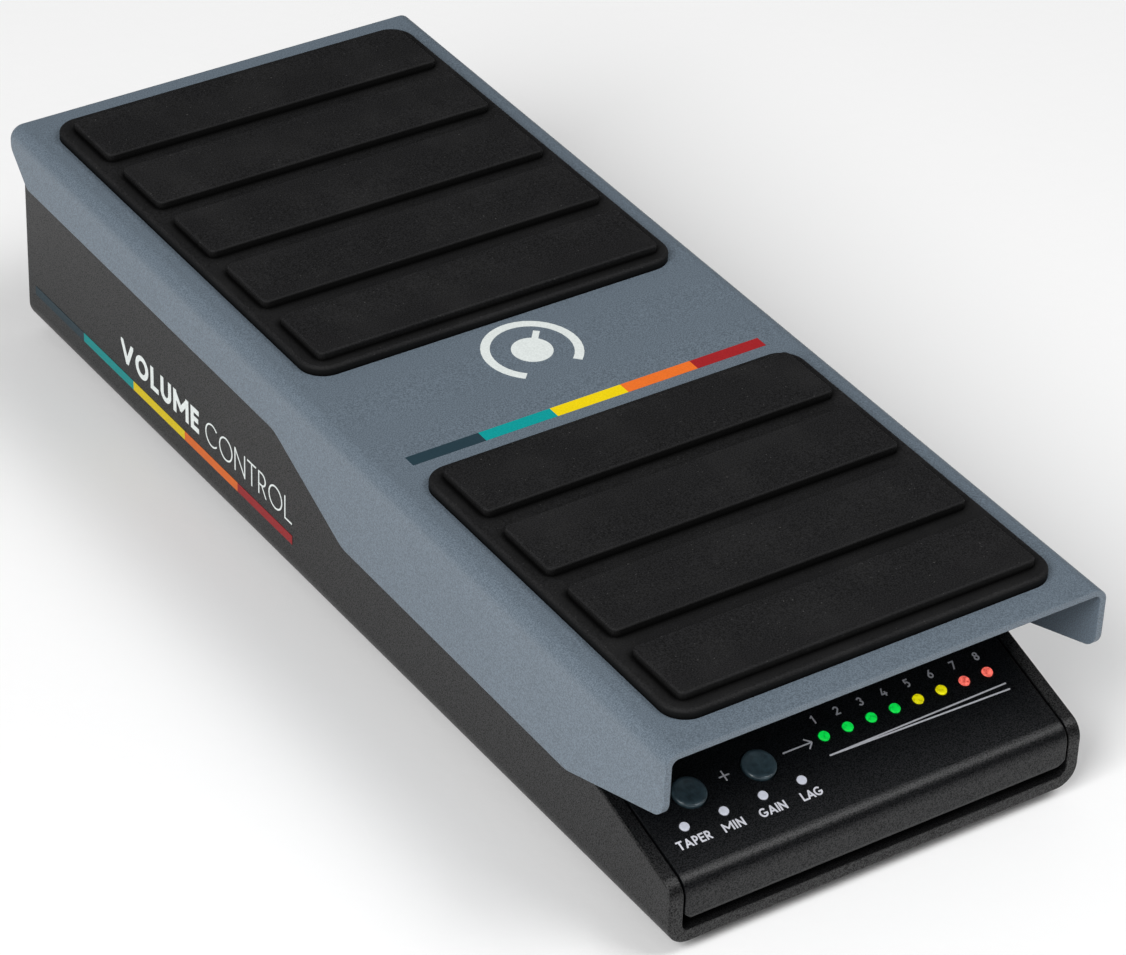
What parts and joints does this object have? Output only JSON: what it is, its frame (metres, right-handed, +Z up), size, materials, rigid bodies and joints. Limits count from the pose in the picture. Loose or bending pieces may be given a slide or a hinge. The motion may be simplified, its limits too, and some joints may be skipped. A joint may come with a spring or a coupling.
{
  "type": "volume pedal",
  "caption": "Rocking foot pedal: sheet-metal treadle with ribbed rubber treads on a low channel base, with a sloping panel of lamps and push buttons under the heel end.",
  "frame": {"origin": "on the ground under the middle of the pedal, standing toe down", "axes": "+Z up, +Y from the heel end to the toe end, +X to the right"},
  "size_m": [0.11, 0.2725, 0.061],
  "materials": {
    "charcoal_powder_coat": "charcoal fine-texture powder coat",
    "blue_grey_powder_coat": "blue-grey fine-texture powder coat",
    "black_powder_coat": "satin black powder coat",
    "tread_rubber": "matte moulded rubber",
    "foot_rubber": "matte moulded rubber",
    "zinc_steel": "zinc-plated steel",
    "axle_steel": "ground steel",
    "black_steel": "black oxide",
    "bronze": "sintered bronze",
    "nylon_natural": "natural nylon",
    "nylon_black": "black moulded nylon",
    "green_led": "diffused lens",
    "yellow_led": "diffused lens",
    "red_led": "diffused lens",
    "white_led": "diffused lens",
    "smoked_button": "smoky translucent moulding",
    "circuit_board": "solder resist",
    "component_black": "moulded epoxy",
    "capacitor_can": "sleeved can",
    "ribbon_grey": "insulated ribbon",
    "wire_insulation": "insulated wire",
    "nickel": "bright nickel"
  },
  "bodies": {
    "base": {"base_channel": "charcoal_powder_coat", "cover": "black_powder_coat", "rubber_feet": "foot_rubber", "toe_stops": "foot_rubber", "heel_stops": "foot_rubber", "foot_screws": "black_steel", "cover_screws": "black_steel", "stand_screws": "black_steel", "pot_bracket_screws": "black_steel", "board_screws": "black_steel", "cover_spacers": "zinc_steel", "cover_nuts": "zinc_steel", "stand_nuts": "zinc_steel", "pot_bracket_nuts": "zinc_steel", "pivot_stand": "zinc_steel", "pot_bracket": "zinc_steel", "axle_bolt": "axle_steel", "axle_nut": "zinc_steel", "axle_washers": "zinc_steel", "friction_washers": "nylon_natural", "pot_body": "component_black", "pot_nut": "nickel", "pot_terminals": "nickel", "pot_leads": "wire_insulation", "control_board": "circuit_board", "panel_standoffs": "zinc_steel", "control_board_screws": "zinc_steel", "leds_green": "green_led", "leds_yellow": "yellow_led", "leds_red": "red_led", "mode_leds": "white_led", "tact_switches": "component_black", "main_board": "circuit_board", "board_standoffs": "zinc_steel", "board_chips": "component_black", "board_capacitors": "capacitor_can", "ribbon_sockets": "component_black", "ribbon_cable": "ribbon_grey", "input_jack": "nylon_black", "output_jack": "nylon_black", "tuner_jack": "nylon_black", "jack_washers": "nickel", "jack_nuts": "nickel", "dc_inlet": "component_black", "dc_pin": "nickel"},
    "treadle": {"treadle_plate": "blue_grey_powder_coat", "toe_pad": "tread_rubber", "heel_pad": "tread_rubber", "treadle_bracket": "zinc_steel", "treadle_screws": "zinc_steel", "pivot_bushes": "bronze", "sector_gear": "nylon_natural", "sector_screws": "zinc_steel"},
    "pot_rotor": {"pot_shaft": "axle_steel", "pinion_gear": "nylon_natural"},
    "button_left": {"button_left": "smoked_button"},
    "button_right": {"button_right": "smoked_button"}
  },
  "joints": [
    {"name": "treadle_hinge", "type": "hinge", "parent": "base", "child": "treadle", "pos_m": [0, -0.0354, 0.0377], "axis": [1, 0, 0], "range_deg": [0, 16.9]},
    {"name": "pot_turn", "type": "hinge", "parent": "base", "child": "pot_rotor", "pos_m": [0, 0.02996, 0.02851], "axis": [1, 0, 0], "range_deg": [-170, 1]},
    {"name": "button_left_press", "type": "slide", "parent": "base", "child": "button_left", "axis": [0, 0.305, -0.9523], "range_m": [0, 0.0005], "stiffness_N_per_m": 600, "springref_m": -0.0008},
    {"name": "button_right_press", "type": "slide", "parent": "base", "child": "button_right", "axis": [0, 0.305, -0.9523], "range_m": [0, 0.0005], "stiffness_N_per_m": 600, "springref_m": -0.0008}
  ],
  "couplings": [
    {"joint": "pot_turn", "follows": "treadle_hinge", "ratio": -10}
  ]
}
